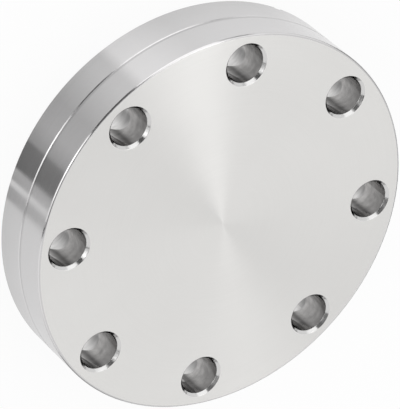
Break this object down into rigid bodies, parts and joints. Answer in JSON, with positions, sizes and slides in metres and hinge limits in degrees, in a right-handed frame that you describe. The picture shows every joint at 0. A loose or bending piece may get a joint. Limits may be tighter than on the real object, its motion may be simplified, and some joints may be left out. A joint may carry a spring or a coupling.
{
  "type": "blank vacuum flange",
  "caption": "Round blank knife-edge vacuum flange of stainless steel with a ring of through bolt holes and a fine line turned round its rim.",
  "frame": {"origin": "centre of the mating face, on the flange's axis, which is also the bottom centre of its box", "axes": "+Z along the axis from the mating face to the plain air side; +X through the leak-test groove, midway between two bolt holes"},
  "size_m": [0.086, 0.086, 0.016],
  "materials": {
    "stainless_steel": "fine turned, bright"
  },
  "bodies": {
    "root": {"flange": "stainless_steel"}
  },
  "joints": []
}
